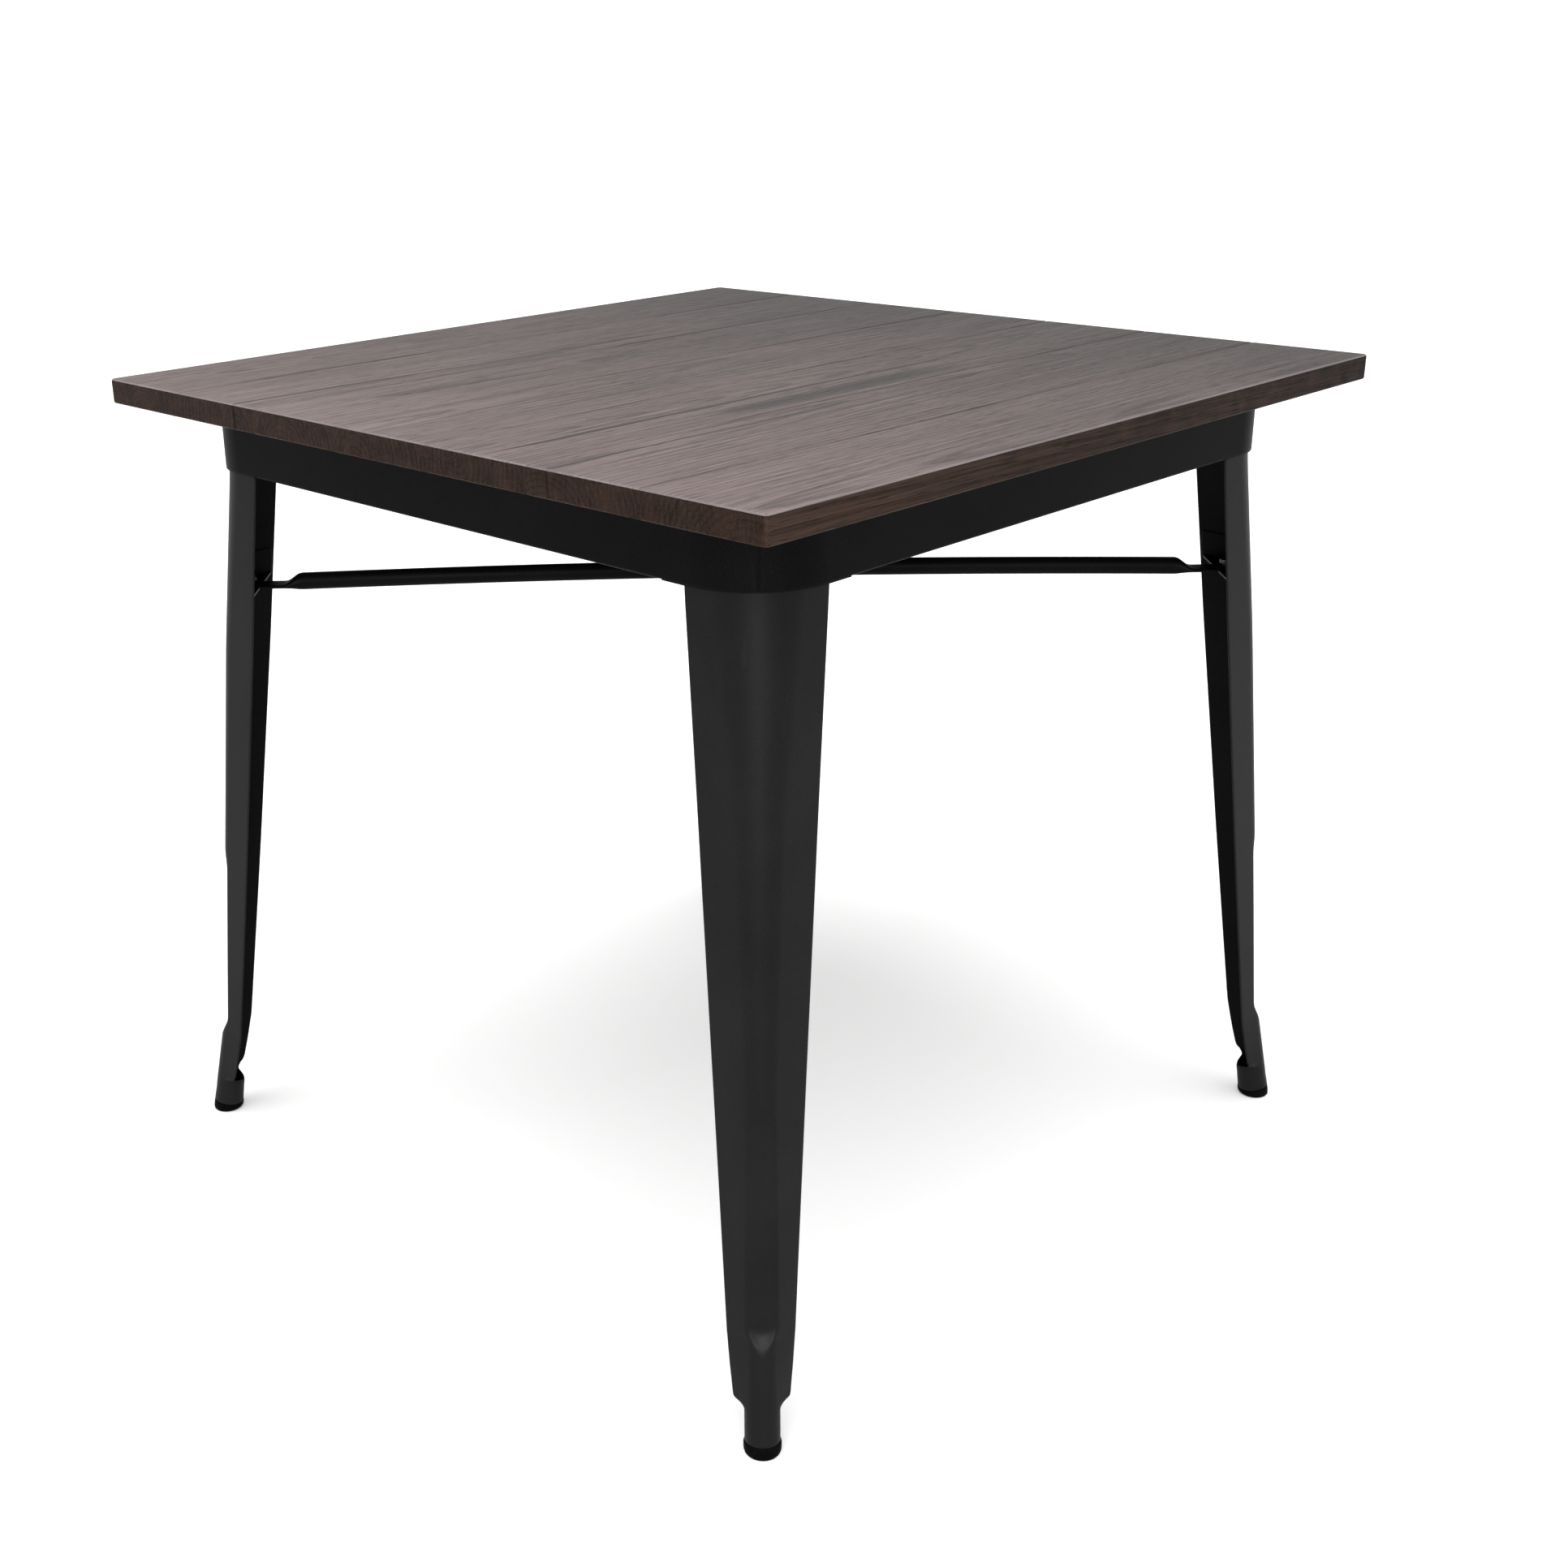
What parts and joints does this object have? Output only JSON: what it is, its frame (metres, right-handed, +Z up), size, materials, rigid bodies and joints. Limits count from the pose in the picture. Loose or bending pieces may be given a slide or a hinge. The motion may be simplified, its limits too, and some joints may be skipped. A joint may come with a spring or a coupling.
{
  "type": "bistro table",
  "caption": "Square wood-topped cafe table on a folded sheet-steel apron, splayed channel legs and crossed tube braces, one of them inferred.",
  "frame": {"origin": "on the floor, under the middle of the square top", "axes": "+Z up; +X along the boards, to the right seen from the front; the front is the -Y side"},
  "size_m": [0.8, 0.8, 0.755],
  "materials": {
    "stained_wood": "matte",
    "black_powder_coat": "satin",
    "blackened_steel": "satin",
    "zinc_steel": "satin",
    "rubber": "matte"
  },
  "bodies": {
    "root": {"apron_rail_back": "black_powder_coat", "apron_rail_front": "black_powder_coat", "apron_rail_left": "black_powder_coat", "apron_rail_right": "black_powder_coat", "brace_end_bolt_back_left": "blackened_steel", "brace_end_bolt_back_right": "blackened_steel", "brace_end_bolt_front_left": "blackened_steel", "brace_end_bolt_front_right": "blackened_steel", "brace_end_nut_back_left": "blackened_steel", "brace_end_nut_back_right": "blackened_steel", "brace_end_nut_front_left": "blackened_steel", "brace_end_nut_front_right": "blackened_steel", "brace_gusset_back_left": "black_powder_coat", "brace_gusset_back_right": "black_powder_coat", "brace_gusset_front_left": "black_powder_coat", "brace_gusset_front_right": "black_powder_coat", "brace_lower": "black_powder_coat", "brace_upper": "black_powder_coat", "crossing_bolt": "blackened_steel", "crossing_nut": "blackened_steel", "crossing_washers": "blackened_steel", "foot_cap_back_left": "rubber", "foot_cap_back_right": "rubber", "foot_cap_front_left": "rubber", "foot_cap_front_right": "rubber", "leg_back_left": "black_powder_coat", "leg_back_right": "black_powder_coat", "leg_bolts_back_left": "blackened_steel", "leg_bolts_back_right": "blackened_steel", "leg_bolts_front_left": "blackened_steel", "leg_bolts_front_right": "blackened_steel", "leg_front_left": "black_powder_coat", "leg_front_right": "black_powder_coat", "tabletop_board_1": "stained_wood", "tabletop_board_2": "stained_wood", "tabletop_board_3": "stained_wood", "tabletop_board_4": "stained_wood", "tabletop_board_5": "stained_wood", "tabletop_board_6": "stained_wood", "tabletop_board_7": "stained_wood", "top_screws_back": "zinc_steel", "top_screws_front": "zinc_steel", "top_screws_left": "zinc_steel", "top_screws_right": "zinc_steel", "weld_nuts_back_left": "black_powder_coat", "weld_nuts_back_right": "black_powder_coat", "weld_nuts_front_left": "black_powder_coat", "weld_nuts_front_right": "black_powder_coat"}
  },
  "joints": []
}
